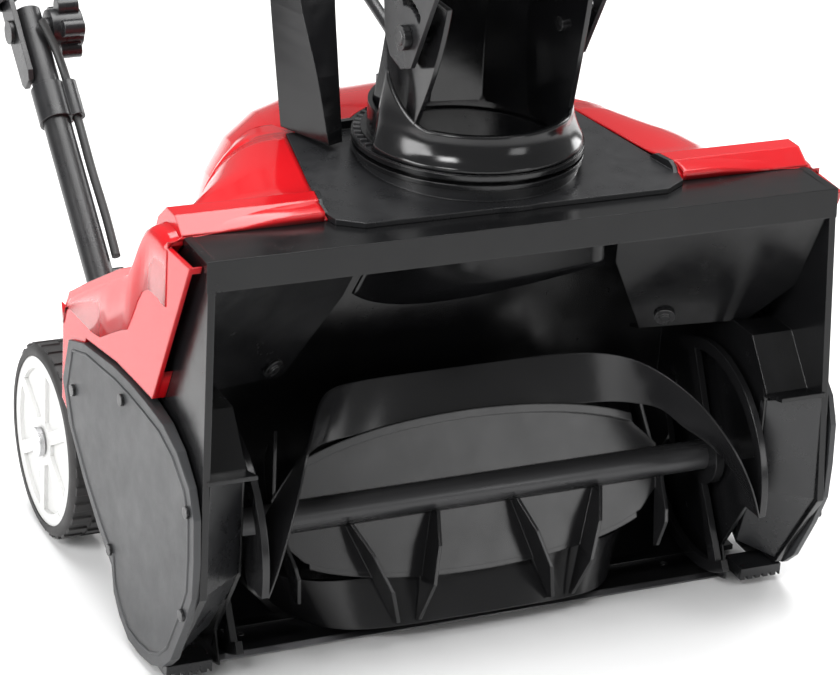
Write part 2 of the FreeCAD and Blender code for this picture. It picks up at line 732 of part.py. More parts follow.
def carry_handle():
    """Lift handle: two blades that rise beside the chute and lean back into a grip."""
    left = [leg_section(337.0, [(-109, 204), (-91, 160), (-79, 165), (-98, 208)]),
            leg_section(380, [(-109, 219), (-94, 178), (-77, 181), (-98, 223)]),
            leg_section(430, [(-107, 240), (-98, 207), (-72, 206), (-92, 243)]),
            leg_section(470, [(-102, 258), (-94, 229), (-64, 228), (-84, 261)])]
    bend = [[V(-86, 276, 508), V(-76, 248, 512), V(-56, 247, 492), V(-68, 275, 486)],
            [V(-48, 286, 528), V(-42, 257, 532), V(-38, 256, 506), V(-42, 285, 502)],
            [V(0, 289, 533), V(0, 260, 537), V(0, 259, 511), V(0, 288, 507)]]
    first = left + bend
    second = []
    for section in reversed(first[:-1]):
        second.append([V(-p.x, p.y, p.z) for p in section])
    arch = loft(eased(first + second, 4), smooth=False)
    hood, saddle, pods = shroud_skin(0.0)
    del saddle, pods
    return biggest(arch.cut(hood))


def end_cover_right():
    shape = mirror(cover_body(0.0, 4.0))
    return shape


# ---------------------------------------------------------------- wheels

def tyre(sign):
    x0 = WHEEL_OUT - WHEEL_W if sign > 0 else -WHEEL_OUT
    centre = V(x0, WHEEL_Y, WHEEL_R)
    ring = rod(centre, X, WHEEL_R - 1.6, WHEEL_W)
    ring = try_fillet(ring, 5.0, lambda e: True)
    lugs = []
    for i in range(30):
        for row, start in ((0, 3.0), (1, WHEEL_W / 2 + 1)):
            lug = box(x0 + start, x0 + start + WHEEL_W / 2 - 4, -3.6, 3.6, WHEEL_R - 6, WHEEL_R - 0.15)
            lug.rotate(V(0, 0, 0), X, 12 * i + 6 * row)
            lug.translate(V(0, WHEEL_Y, WHEEL_R))
            lugs.append(lug)
    ring = ring.fuse(lugs)
    return ring.cut(rod(V(x0 - 1, WHEEL_Y, WHEEL_R), X, 63.0, WHEEL_W + 2))


def hub(sign):
    x0 = WHEEL_OUT - WHEEL_W + 1 if sign > 0 else -WHEEL_OUT + 1
    length = WHEEL_W - 2
    outside = x0 + length if sign > 0 else x0
    body = rod(V(x0, WHEEL_Y, WHEEL_R), X, 62.98, length)
    inside = x0 - 1 if sign > 0 else x0 + 7
    body = body.cut(pipe(V(inside, WHEEL_Y, WHEEL_R), X, 58.0, 16.0, length - 6))
    dish = outside - 3 if sign > 0 else outside - 1
    body = body.cut(pipe(V(dish, WHEEL_Y, WHEEL_R), X, 54.0, 18.0, 4))
    spokes = []
    for i in range(6):
        spoke = box(dish + (0 if sign > 0 else 1), dish + (3 if sign > 0 else 4), -5, 5, 15, 56)
        spoke.rotate(V(0, 0, 0), X, 60 * i)
        spoke.translate(V(0, WHEEL_Y, WHEEL_R))
        spokes.append(spoke)
    body = body.fuse(spokes).removeSplitter()
    return body.cut(rod(V(x0 - 2, WHEEL_Y, WHEEL_R), X, AXLE_R + RUN, length + 4))


def wheel_axle():
    return rod(V(-WHEEL_OUT - 2, WHEEL_Y, WHEEL_R), X, AXLE_R, 2 * WHEEL_OUT + 4)


def axle_caps():
    caps = []
    for sign in (-1, 1):
        x0 = WHEEL_OUT + 0.4 if sign > 0 else -WHEEL_OUT - 4.4
        cap = rod(V(x0, WHEEL_Y, WHEEL_R), X, 11, 4)
        caps.append(cap.cut(rod(V(-WHEEL_OUT - 2, WHEEL_Y, WHEEL_R), X, AXLE_R, 2 * WHEEL_OUT + 4)))
    return Part.makeCompound(caps)


def rear_frame():
    """Pressed cross member that carries the axle and the handle's lower tubes."""
    beam = box(-192, 192, WHEEL_Y - 22, WHEEL_Y + 22, WHEEL_R - 14, WHEEL_R + 14)
    beam = beam.cut(box(-188, 188, WHEEL_Y - 19, WHEEL_Y + 23, WHEEL_R - 11, WHEEL_R + 15))
    pieces = [beam]
    for sign in (-1, 1):
        x0 = 178 if sign > 0 else -182
        ear = profile_x([(186, 60), (240, WHEEL_R - 14), (WHEEL_Y + 24, WHEEL_R - 14),
                         (WHEEL_Y + 40, 130), (WHEEL_Y + 24, 190), (262, 168), (220, 120),
                         (186, 110)], x0, x0 + 4)
        pieces.append(ear)
    body = union(pieces)
    return body.cut(rod(V(-260, WHEEL_Y, WHEEL_R), X, AXLE_R, 520))


# ---------------------------------------------------------------- handle

def tube_point(x, run):
    """A point on the handle's slanted line, run mm above the fold bolt."""
    return V(x, FOLD.y, FOLD.z) + ALONG * run


def lower_tube(sign):
    x = sign * TUBE_X
    start = tube_point(x, -FOLD_RUN - 62)
    tube = pipe(start, ALONG, TUBE_R, TUBE_R - TUBE_WALL, FOLD_RUN + 62 + 16)
    tube = tube.cut(rod(V(x - 30, FOLD.y, FOLD.z), X, 3.55, 60))
    lug_x = x - 18 if sign > 0 else x
    lug = rod(V(lug_x, tube_point(x, -FOLD_RUN - 40).y, tube_point(x, -FOLD_RUN - 40).z), X, 5, 18)
    return tube.fuse(lug).removeSplitter()


def upper_handle():
    """One bent tube: two side rails and a cross bar, with cupped ends at the fold bolts."""
    up = grip_way()
    rails = []
    for sign in (-1, 1):
        x = sign * UPPER_X
        start = tube_point(x, 30)
        bend = tube_point(x, UPPER_LEN)
        rails.append((start, bend, bend + up * GRIP_LEN))
    left, right = rails
    path = [left[0], left[1], left[2], right[2], right[1], right[0]]
    radii = [BEND_R, CORNER_R, CORNER_R, BEND_R]
    wire = bent_path(path, radii)
    outer = sweep(wire, TUBE_R)
    inner = sweep(wire, TUBE_R - TUBE_WALL)
    body = outer.cut(inner)
    for sign in (-1, 1):
        body = body.fuse(cupped_end(sign))
    body = body.removeSplitter()
    return body.cut(rod(V(-260, FOLD.y, FOLD.z), X, 3.55, 520))


def grip_way():
    rise = math.radians(TUBE_SLOPE - GRIP_TURN)
    return V(0, math.cos(rise), math.sin(rise))


def rail_point(x, run, lift):
    """A point run mm up the handle's rail from the fold bolt, round its bend, lift mm above it."""
    cut = BEND_R * math.tan(math.radians(GRIP_TURN / 2))
    turn = min(max((run - UPPER_LEN + cut) / BEND_R, 0.0), math.radians(GRIP_TURN))
    rise = SLOPE - turn
    before = min(run, UPPER_LEN - cut)
    after = max(0.0, run - (UPPER_LEN - cut) - BEND_R * math.radians(GRIP_TURN))
    centre = tube_point(x, before) - ABOVE * BEND_R
    out = V(0, -math.sin(rise), math.cos(rise))
    ahead = V(0, math.cos(rise), math.sin(rise))
    if turn == 0.0:
        return tube_point(x, run) + ABOVE * lift
    return centre + out * (BEND_R + lift) + ahead * after


def grip_above():
    rise = math.radians(TUBE_SLOPE - GRIP_TURN)
    return V(0, -math.sin(rise), math.cos(rise))


def cupped_end(sign):
    """The flattened tube end that lies against the lower tube's outer side."""
    x0 = sign * (TUBE_X + TUBE_R + 0.4)
    push = V(sign * 4.0, 0, 0)
    outline = []
    for run, half in ((-46, 7), (-40, 11), (20, 11.5), (44, 9)):
        outline.append(tube_point(x0, run) + ABOVE * half)
    for run, half in ((44, 9), (20, 11.5), (-40, 11), (-46, 7)):
        outline.append(tube_point(x0, run) - ABOVE * half)
    plate = slab(outline, push)
    start = tube_point(sign * UPPER_X, 24)
    neck = rod(start, ALONG, TUBE_R - 0.8, 30)
    neck = neck.cut(rod(start - ALONG, ALONG, TUBE_R - 3.0, 36))
    inner_side = box(-(TUBE_X + TUBE_R + 0.4), TUBE_X + TUBE_R + 0.4, 0, 2000, 0, 1200)
    return plate.fuse(neck.cut(inner_side)).removeSplitter()


def bent_path(points, radii):
    """Straight runs joined by tangent arcs, as one wire."""
    edges = []
    here = points[0]
    for i, radius in enumerate(radii):
        corner = points[i + 1]
        back = (points[i] - corner).normalize()
        ahead = (points[i + 2] - corner).normalize()
        half = back.getAngle(ahead) / 2
        cut = radius / math.tan(half)
        begin = corner + back * cut
        end = corner + ahead * cut
        middle_way = (back + ahead).normalize()
        centre = corner + middle_way * (radius / math.sin(half))
        middle = centre - middle_way * radius
        edges.append(Part.LineSegment(here, begin).toShape())
        edges.append(Part.Arc(begin, middle, end).toShape())
        here = end
    edges.append(Part.LineSegment(here, points[-1]).toShape())
    return Part.Wire(edges)


def sweep(wire, radius):
    first = wire.Edges[0]
    start = first.Vertexes[0].Point
    direction = first.tangentAt(first.FirstParameter)
    ring = Part.Wire(Part.makeCircle(radius, start, direction))
    return wire.makePipeShell([ring], True, False)


def fold_bolt(sign):
    """Carriage bolt with a domed head outboard."""
    outside = TUBE_X + TUBE_R + 4.8
    start = V(-outside - 3.2, FOLD.y, FOLD.z) if sign < 0 else V(TUBE_X - TUBE_R - 14, FOLD.y, FOLD.z)
    length = outside + 3.2 - (TUBE_X - TUBE_R - 14)
    shank = rod(start, X, 3.5, length)
    head_x = -outside - 3.2 if sign < 0 else outside
    head = rod(V(head_x, FOLD.y, FOLD.z), X, 9.0, 3.2)
    washer_x = -(TUBE_X - TUBE_R - 0.2) if sign < 0 else TUBE_X - TUBE_R - 2.2
    washer = rod(V(washer_x, FOLD.y, FOLD.z), X, 9.0, 2.0)
    return union([shank, head, washer])


def fold_knob(sign):
    """Three-lobed hand knob on the bolt's inboard end."""
    x0 = -(TUBE_X - TUBE_R - 2.5) if sign < 0 else TUBE_X - TUBE_R - 26.5
    lobes = [rod(V(x0, FOLD.y, FOLD.z), X, 15, 24)]
    for i in range(5):
        turn = math.radians(72 * i + 18)
        lobes.append(rod(V(x0 + 6, FOLD.y + 17 * math.cos(turn), FOLD.z + 17 * math.sin(turn)),
                         X, 6.5, 16))
    body = union(lobes)
    return body.cut(rod(V(x0 - 1 if sign > 0 else x0 - 1, FOLD.y, FOLD.z), X, 3.5 + RUN, 26))


CLIP_RUN = -66.0


def cable_clip():
    """Sleeve round the left lower tube with a pocket for the lead."""
    at = tube_point(-TUBE_X, CLIP_RUN - 15)
    sleeve = rod(at, ALONG, TUBE_R + 2.4, 30)
    pocket = rod(at + LEAD_OFF, ALONG, 6.4, 30)
    body = union([sleeve, pocket])
    body = body.cut(rod(at - ALONG, ALONG, TUBE_R, 32))
    return body.cut(rod(at - ALONG + LEAD_OFF, ALONG, LEAD_R + 0.7, 32))


LEAD_R = 3.3
LEAD_OFF = V(14.6, 0, 0) + ABOVE * 5.0


def lead_tube(points):
    radii = []
    for i in range(1, len(points) - 1):
        before = points[i - 1] - points[i]
        after = points[i + 1] - points[i]
        half_turn = (math.pi - before.getAngle(after)) / 2
        radius = 0.45 * min(before.Length, after.Length) / math.tan(half_turn)
        radii.append(radius)
        print("lead radius", round(radius, 1))
    wire = bent_path(points, radii)
    tube = sweep(wire, LEAD_R)
    print("lead length", round(wire.Length, 1), "volume ratio",
          round(tube.Volume / (math.pi * LEAD_R ** 2 * wire.Length), 4))
    return tube


LEAD_LOWER = [(-200, 14.6, 5.0), (-165, 15.6, 4.6), (-128, 14.2, 5.4), (-90, 14.9, 4.9),
              (-66, 14.6, 5.0), (-42, 14.0, 6.2), (-22, 10.5, 11.5), (-1.5, 3.5, 17.3)]
LEAD_UPPER = [(38, -8.0, 17.6), (58, -10.6, 16.2), (90, -12.9, 15.2),
              (130, -13.6, 14.8), (180, -12.6, 15.3), (230, -13.4, 14.9), (280, -12.7, 15.2),
              (330, -13.3, 15.0), (380, -12.6, 15.3), (430, -13.4, 14.8), (480, -12.8, 15.2),
              (530, -13.2, 14.9), (580, -12.6, 15.3), (630, -13.3, 14.8), (680, -12.8, 15.2),
              (730, -13.1, 15.0), (780, -12.7, 15.3), (830, -13.2, 15.0), (872, -12.8, 15.2),
              (906, -13.0, 15.6)]


def lead_points(table):
    return [rail_point(x - TUBE_X, run, lift) for run, x, lift in table]


def switch_box():
    """Control box on the left rail above the bend, with the lead's gland and the socket."""
    corners = [(921, 4), (917, 22), (930, 44), (988, 50), (1012, 40), (1014, 4)]
    outline = [rail_point(-UPPER_X - 20, run, lift) for run, lift in corners]
    shape = slab(outline, V(44, 0, 0))
    shape = try_fillet(shape, 5.0, lambda e: e.Length > 12)
    way = grip_way()
    above = grip_above()
    shape = shape.fuse(rod(rail_point(-UPPER_X, 922, 0), way, TUBE_R + 4, 88)).removeSplitter()
    shape = shape.cut(rod(rail_point(-UPPER_X, 910, 0), way, TUBE_R, 180))
    gland_at = lead_points(LEAD_UPPER)[-1]
    shape = shape.fuse(rod(gland_at, way, 5.0, 20)).removeSplitter()
    shape = shape.cut(rod(rail_point(-UPPER_X + 2, 968, 26.5), above, 9.3, 34))
    shape = shape.cut(rod(rail_point(-UPPER_X + 16, BAIL_RUN, 26), X, 5.05, 30))
    return shape.cut(rod(rail_point(-UPPER_X - 7, 996, 26), way, 10.42, 50))


def power_inlet():
    """Recessed three-pin inlet for an extension lead."""
    at = rail_point(-UPPER_X - 7, 996, 26)
    way = grip_way()
    shell = pipe(at, way, 10.4, 9.0, 24)
    base = rod(at, way, 10.4, 3)
    body = shell.fuse(base).removeSplitter()
    pins = []
    for x, lift in ((-4.0, 2.2), (4.0, 2.2), (0, -4.0)):
        pins.append(rod(at + V(x, 0, 0) + grip_above() * lift + way * 2, way, 1.2, 15))
    return body.fuse(pins).removeSplitter()


def lock_button():
    stem = rod(rail_point(-UPPER_X + 2, 968, 31), grip_above(), 8.9, 23)
    return try_fillet(stem, 1.5, lambda e: e.Length > 50)


BAIL_RUN = 988.0


def bail_lever():
    """Bail: a wire loop hinged beside both rails, pulled down to the grip."""
    hinge_l = rail_point(-UPPER_X + 32, BAIL_RUN, 26)
    hinge_r = V(-hinge_l.x, hinge_l.y, hinge_l.z)
    lean = math.radians(TUBE_SLOPE - GRIP_TURN + 38)
    reach = V(0, math.cos(lean), math.sin(lean))
    wire = bent_path([hinge_l, hinge_l + reach * 136, hinge_r + reach * 136, hinge_r],
                     [28.0, 28.0])
    loop = sweep(wire, 4.0)
    pieces = [loop]
    for hinge, start in ((hinge_l, -15.5), (hinge_r, -6)):
        eye = rod(hinge - X * 6, X, 8.0, 12)
        pin = rod(hinge + X * start, X, 5.0, 21.5)
        pieces.append(eye.fuse(pin))
    return union(pieces)


def bail_bracket():
    """Saddle on the right rail that holds the bail's other end."""
    corners = ((BAIL_RUN - 16, 0), (BAIL_RUN - 12, 32), (BAIL_RUN + 12, 36), (BAIL_RUN + 18, 0))
    block = slab([rail_point(UPPER_X - 14, run, lift) for run, lift in corners], V(28, 0, 0))
    way = grip_way()
    block = block.fuse(rod(rail_point(UPPER_X, BAIL_RUN - 20, 0), way, TUBE_R + 3.5, 40))
    block = block.removeSplitter()
    block = block.cut(rod(rail_point(UPPER_X, BAIL_RUN - 60, 0), way, TUBE_R, 140))
    hinge = rail_point(UPPER_X, BAIL_RUN, 26)
    return block.cut(rod(hinge - X * 20, X, 5.05, 60))


def grip_sleeve():
    """Foam sleeve over the cross bar."""
    at = tube_point(0, UPPER_LEN) + grip_way() * GRIP_LEN
    start = V(-128, at.y, at.z)
    sleeve = pipe(start, X, TUBE_R + 5.0, TUBE_R, 256)
    return try_fillet(sleeve, 2.0, lambda e: e.Length > 90 and e.Length < 110)


# ---------------------------------------------------------------- chute

def chute_section(z, half, back, front, thick):
    """U-shaped outline at height z, open towards the mouth."""
    outer = [V(-half, front, z), V(-half, RING_Y + back * 0.45, z), V(-half * 0.62, RING_Y + back * 0.9, z),
             V(0, RING_Y + back, z), V(half * 0.62, RING_Y + back * 0.9, z),
             V(half, RING_Y + back * 0.45, z), V(half, front, z)]
    h = half - thick
    b = back - thick
    inner = [V(h, front, z), V(h, RING_Y + b * 0.45, z), V(h * 0.62, RING_Y + b * 0.9, z),
             V(0, RING_Y + b, z), V(-h * 0.62, RING_Y + b * 0.9, z),
             V(-h, RING_Y + b * 0.45, z), V(-h, front, z)]
    return outer + inner


def chute():
    """Discharge chute: a round base with a double flange and a channel open to the front."""
    ring_low = pipe(V(0, RING_Y, RING_Z - 5.4), Z, RING_R, THROAT_R + 0.5, 3.6)
    ring_high = pipe(V(0, RING_Y, RING_Z + 1.4), Z, RING_R, THROAT_R + 0.5, 3.6)
    core = pipe(V(0, RING_Y, RING_Z - 5.4), Z, 74.0, THROAT_R + 0.5, 14)
    base = pipe(V(0, RING_Y, RING_Z + 4), Z, CHUTE_R, CHUTE_R - 3.4, 24)
    channel = Part.makeLoft([
        Part.makePolygon(close(chute_section(RING_Z + 6, 63, 66, RING_Y - 26, 3.4))),
        Part.makePolygon(close(chute_section(RING_Z + 50, 57, 60, RING_Y - 46, 3.4))),
        Part.makePolygon(close(chute_section(CHUTE_TOP, CHUTE_HALF, 48, RING_Y - 66, 3.4))),
    ], True, False)
    body = union([ring_low, ring_high, core, base, channel])
    pivot = rod(V(-120, PIVOT_Y, PIVOT_Z), X, 5.05, 240)
    body = body.cut(pivot)
    return body


def close(points):
    return points + [points[0]]


GEAR_R = 75.5
GEAR_TEETH = 60
PINION_TEETH = 8
FLANGE_TOP = RING_Z + 5.0


def ring_gear():
    """Crown teeth on the rear half of the chute's upper flange."""
    teeth = [pipe(V(0, RING_Y, FLANGE_TOP), Z, 79.5, 71.5, 0.5)]
    for i in range(-16, 16):
        turn = math.radians(360.0 / GEAR_TEETH * (i + 0.5))
        tooth = profile_x([(-1.5, 0.2), (1.5, 0.2), (0.8, 2.6), (-0.8, 2.6)], 71.8, 79.2)
        tooth.rotate(V(0, 0, 0), Z, 90 + math.degrees(turn))
        tooth.translate(V(0, RING_Y, FLANGE_TOP))
        teeth.append(tooth)
    return union(teeth)


def deflector():
    """Hood on the chute's top, with slotted side plates outside the channel."""
    side = []
    for sign in (-1, 1):
        x0 = sign * (CHUTE_HALF + 8.5)
        outline = [(92, 414), (108, 408), (126, 412), (136, 424), (140, 444), (146, 470),
                   (134, 500), (96, 528), (52, 544), (40, 538), (60, 474)]
        plate = slab([V(x0, y, z) for y, z in outline], V(sign * 3.2, 0, 0))
        side.append(plate)
    roof = []
    for x in (-(CHUTE_HALF + 11.7), CHUTE_HALF + 11.7):
        roof.append([V(x, 147, 470), V(x, 135, 503), V(x, 97, 531), V(x, 40, 549),
                     V(x, 38, 545.6), V(x, 95, 527.6), V(x, 132.5, 500.5), V(x, 143.6, 469)])
    hood = loft(roof, smooth=False)
    body = union(side + [hood])
    slot = []
    for i in range(7):
        turn = math.radians(70 + 10 * i)
        slot.append(rod(V(-120, PIVOT_Y + 24 * math.cos(turn), PIVOT_Z + 24 * math.sin(turn)),
                        X, 3.4, 240))
    body = body.cut(slot)
    return body.cut(rod(V(-120, PIVOT_Y, PIVOT_Z), X, 5.06, 240))


def deflector_pins():
    """Shouldered hinge bolts fixed in the chute's side walls."""
    pins = []
    for sign in (-1, 1):
        x0 = CHUTE_HALF - 6 if sign > 0 else -(CHUTE_HALF + 18)
        pin = rod(V(x0, PIVOT_Y, PIVOT_Z), X, 5.0, 24)
        spacer_x = CHUTE_HALF + 5.2 if sign > 0 else -(CHUTE_HALF + 8.2)
        spacer = rod(V(spacer_x, PIVOT_Y, PIVOT_Z), X, 8.0, 3.0)
        head_x = CHUTE_HALF + 12.1 if sign > 0 else -(CHUTE_HALF + 17.3)
        head = rod(V(head_x, PIVOT_Y, PIVOT_Z), X, 8.5, 5.2)
        pins.append(union([pin, spacer, head]))
    return Part.makeCompound(pins)


def deflector_knob():
    """Wing knob that clamps the hood through its slot."""
    y = PIVOT_Y + 24 * math.cos(math.radians(100))
    z = PIVOT_Z + 24 * math.sin(math.radians(100))
    x0 = CHUTE_HALF + 12.2
    body = rod(V(x0, y, z), X, 8.0, 7)
    wing = box(x0 + 3, x0 + 13, y - 16, y + 16, z - 3, z + 3)
    wing = try_fillet(wing, 2.5, lambda e: e.Length < 11)
    stem = rod(V(x0 - 10, y, z), X, 3.0, 12)
    return union([body, wing, stem])


# ---------------------------------------------------------------- chute crank

CRANK_X = 0.0
PINION_TIP = 11.4
PINION_REACH = 11.7          # from the pinion's middle down to the flange it runs over
CRANK_LEAN = 15.8
CRANK_WAY = V(0, math.cos(math.radians(CRANK_LEAN)), math.sin(math.radians(CRANK_LEAN)))
PINION_MID = V(CRANK_X, RING_Y + GEAR_R,
               RING_Z + 6.1 + PINION_REACH * math.cos(math.radians(CRANK_LEAN)))
CRANK_START = PINION_MID - CRANK_WAY * 3.0
CRANK_END = CRANK_START + CRANK_WAY * 410.0


def crank_axis():
    return V(CRANK_WAY)


def crank_rod():
    """Steel rod from the worm, bent twice into the hand crank."""
    way = crank_axis()
    side = way.cross(X).normalize()
    arm = CRANK_END + side * 66
    wire = bent_path([CRANK_START, CRANK_END, arm, arm + way * 68], [12.0, 12.0])
    return sweep(wire, 4.5)


def crank_knob():
    way = crank_axis()
    side = way.cross(X).normalize()
    at = CRANK_END + side * 66 + way * 15
    body = rod(at, way, 11.0, 50)
    body = try_fillet(body, 4.0, lambda e: True)
    return body.cut(rod(at - way, way, 4.5 + RUN, 80))


def crank_bracket():
    """Bearing block for the crank rod on the hood's top."""
    way = crank_axis()
    at = CRANK_START + way * 26
    foot = box(CRANK_X - 15, CRANK_X + 15, 226, 256, 336, 349.0)
    block = rod(at - way * 7, way, 9.0, 14)
    stand = box(CRANK_X - 6, CRANK_X + 6, at.y - 5, at.y + 5, 340, at.z)
    body = union([foot, stand, block])
    body = body.cut(shroud_skin(0.0)[0])
    return biggest(body.cut(rod(CRANK_START - way * 30, way, 4.5 + RUN, 120)))


def crank_pinion():
    """Pinion on the crank rod's lower end that turns the chute by its crown teeth."""
    start = PINION_MID - CRANK_WAY * 2.5
    body = rod(start, CRANK_WAY, 8.6, 5.0)
    side = V(1, 0, 0)
    down = CRANK_WAY.cross(side)
    pieces = [body]
    for i in range(PINION_TEETH):
        turn = math.radians(360.0 / PINION_TEETH * i)
        out = down * -math.cos(turn) + side * math.sin(turn)
        if i == 0:
            out = down * -1.0
        across = CRANK_WAY.cross(out)
        tooth = [start + out * 8.0 + across * 1.6, start + out * PINION_TIP + across * 0.8,
                 start + out * PINION_TIP - across * 0.8, start + out * 8.0 - across * 1.6]
        pieces.append(slab(tooth, CRANK_WAY * 5.0))
    return union(pieces).cut(rod(start - CRANK_WAY, CRANK_WAY, 4.5, 20))


# ---------------------------------------------------------------- the whole machine

def build():
    nodes = {}
    housing = auger_housing()
    nodes["auger_housing"] = housing
    nodes["scraper_bar"] = scraper_bar()
    nodes["scraper_screws"] = scraper_screws()
    nodes["baffle_screws"] = baffle_screws()
    nodes["rotor_blade_a"] = rotor_half()
    nodes["rotor_blade_b"] = turned(nodes["rotor_blade_a"], ROTOR, X, 180)
    nodes["auger_shaft"] = auger_shaft()
    nodes["driven_pulley"] = driven_pulley()
    nodes["drive_pulley"] = drive_pulley()
    nodes["drive_belt"] = drive_belt()
    nodes["motor"] = motor_can()
    nodes["motor_shaft"] = motor_shaft()
    nodes["belt_cover"] = belt_cover()
    nodes["end_cover_right"] = end_cover_right()
    nodes["cover_screws"] = cover_screws()
    nodes["motor_fan"] = motor_fan()
    nodes["motor_shroud"] = motor_shroud()
    nodes["chute_deck"] = chute_deck()
    nodes["throat_sleeve"] = throat()
    nodes["carry_handle"] = carry_handle()
    nodes["wheel_axle"] = wheel_axle()
    nodes["axle_caps"] = axle_caps()
    nodes["rear_frame"] = rear_frame()
    nodes["upper_handle"] = upper_handle()
    nodes["cable_clip"] = cable_clip()
    nodes["switch_lead_lower"] = lead_tube(lead_points(LEAD_LOWER))
    nodes["switch_lead_upper"] = lead_tube(lead_points(LEAD_UPPER))
    nodes["switch_box"] = switch_box()
    nodes["power_inlet"] = power_inlet()
    nodes["lock_button"] = lock_button()
    nodes["bail_lever"] = bail_lever()
    nodes["bail_bracket"] = bail_bracket()
    nodes["grip_sleeve"] = grip_sleeve()
    nodes["chute"] = chute()
    nodes["chute_ring_gear"] = ring_gear()
    nodes["deflector"] = deflector()
    nodes["deflector_pins"] = deflector_pins()
    nodes["deflector_knob"] = deflector_knob()
    nodes["crank_rod"] = crank_rod()
    nodes["crank_knob"] = crank_knob()
    nodes["crank_bracket"] = crank_bracket()
    nodes["crank_pinion"] = crank_pinion()
    nodes["auger_bearings"] = Part.makeCompound([bearing(-1), bearing(1)])
    for name, sign in (("left", -1), ("right", 1)):
        nodes["mouth_corner_" + name] = mouth_corner(sign)
        nodes["toe_skid_" + name] = toe_skid(sign)
        nodes["baffle_" + name] = baffle(sign)
        nodes["tyre_" + name] = tyre(sign)
        nodes["hub_" + name] = hub(sign)
        nodes["lower_tube_" + name] = lower_tube(sign)
        nodes["fold_bolt_" + name] = fold_bolt(sign)
        nodes["fold_knob_" + name] = fold_knob(sign)
    for name, others in FITTED:
        for other in others:
            nodes[name] = nodes[name].cut(nodes[other])
    nodes["rotor_blade_b"] = biggest(nodes["rotor_blade_b"].cut(nodes["rotor_blade_a"]))
    return nodes


# pieces that are trimmed to lie against their neighbours
FITTED = (("mouth_corner_left", ("auger_housing",)), ("mouth_corner_right", ("auger_housing",)),
          ("baffle_left", ("auger_housing", "mouth_corner_left")),
          ("baffle_right", ("auger_housing", "mouth_corner_right")),
          ("belt_cover", ("auger_housing", "motor_shroud", "cover_screws")),
          ("end_cover_right", ("auger_housing", "motor_shroud", "cover_screws")),
          ("toe_skid_left", ("auger_housing", "belt_cover", "mouth_corner_left")),
          ("toe_skid_right", ("auger_housing", "end_cover_right", "mouth_corner_right")),
          ("rear_frame", ("motor_shroud",)),
          ("chute_ring_gear", ("chute",)))


def origin_shift(nodes):
    """The move that puts the origin at the bottom centre of the whole box."""
    whole = FreeCAD.BoundBox()
    for shape in nodes.values():
        whole.add(shape.optimalBoundingBox(False, False))
    return V(-whole.Center.x, -whole.Center.y, -whole.ZMin)


def main():
    nodes = build()
    shift = origin_shift(nodes)
    print("shift", shift.x, shift.y, shift.z)
    os.makedirs("parts", exist_ok=True)
    for name, shape in nodes.items():
        moved = shape.copy()
        moved.translate(shift)
        if not moved.isValid():
            print("not valid:", name)
        moved.exportStep("parts/" + name + ".step")


main()
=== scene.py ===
import math

import bmesh
import bpy
from mathutils import Matrix, Vector


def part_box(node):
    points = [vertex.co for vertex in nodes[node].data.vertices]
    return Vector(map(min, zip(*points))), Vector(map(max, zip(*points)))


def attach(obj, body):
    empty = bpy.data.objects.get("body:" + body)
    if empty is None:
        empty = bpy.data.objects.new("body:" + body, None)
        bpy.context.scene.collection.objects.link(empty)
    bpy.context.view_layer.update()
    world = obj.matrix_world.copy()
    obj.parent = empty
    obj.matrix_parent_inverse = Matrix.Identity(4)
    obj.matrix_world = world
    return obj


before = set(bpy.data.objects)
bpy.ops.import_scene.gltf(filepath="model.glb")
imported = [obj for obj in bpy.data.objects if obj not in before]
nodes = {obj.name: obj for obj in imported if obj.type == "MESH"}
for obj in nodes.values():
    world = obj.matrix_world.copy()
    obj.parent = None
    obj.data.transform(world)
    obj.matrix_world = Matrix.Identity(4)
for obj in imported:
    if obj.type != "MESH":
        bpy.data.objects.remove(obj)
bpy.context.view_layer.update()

MM = 0.001
BAR_BEHIND_MOUTH = 0.070     # the scraper bar's front face lies this far behind the mouth's edge
MOUTH_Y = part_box("scraper_bar")[0][1] - BAR_BEHIND_MOUTH


def at(x, y, z):
    """Millimetres from the mouth's front edge and the ground, as a scene position."""
    return Vector((x * MM, y * MM + MOUTH_Y, z * MM))


# ---------------------------------------------------------------- camera

CAMERA_ANGLES = (25.576, -24.172, 3.613)        # yaw, pitch and roll in degrees
CAMERA_PLACE = (-913.9, -1722.4, 1119.6)        # mm, as at() takes them
CAMERA_LENS = 137.58
SENSOR = 36.0


def make_camera():
    yaw, pitch, roll = (math.radians(angle) for angle in CAMERA_ANGLES)
    look = Vector((math.sin(yaw) * math.cos(pitch), math.cos(yaw) * math.cos(pitch),
                   math.sin(pitch)))
    right = look.cross(Vector((0, 0, 1))).normalized()
    up = right.cross(look)
    turned_right = math.cos(roll) * right + math.sin(roll) * up
    turned_up = -math.sin(roll) * right + math.cos(roll) * up
    data = bpy.data.cameras.new("camera")
    data.lens = CAMERA_LENS
    data.sensor_width = SENSOR
    data.clip_end = 50.0
    camera = bpy.data.objects.new("camera", data)
    bpy.context.scene.collection.objects.link(camera)
    place = Matrix((turned_right, turned_up, -look)).transposed().to_4x4()
    place.translation = at(*CAMERA_PLACE)
    camera.matrix_world = place
    bpy.context.scene.camera = camera


# ---------------------------------------------------------------- light and floor

def area(name, where, target, size, power, tall=None):
    """A rectangular lamp that looks at a point."""
    data = bpy.data.lights.new(name, "AREA")
    data.energy = power
    data.shape = "RECTANGLE"
    data.size = size
    data.size_y = tall or size
    lamp = bpy.data.objects.new(name, data)
    lamp.location = where
    lamp.rotation_euler = (Vector(target) - Vector(where)).to_track_quat("-Z", "Y").to_euler()
    bpy.context.scene.collection.objects.link(lamp)


WORLD_STRENGTH = 0.3
LAMPS_AIM = (0, 120, 200)    # mm, as at() takes them
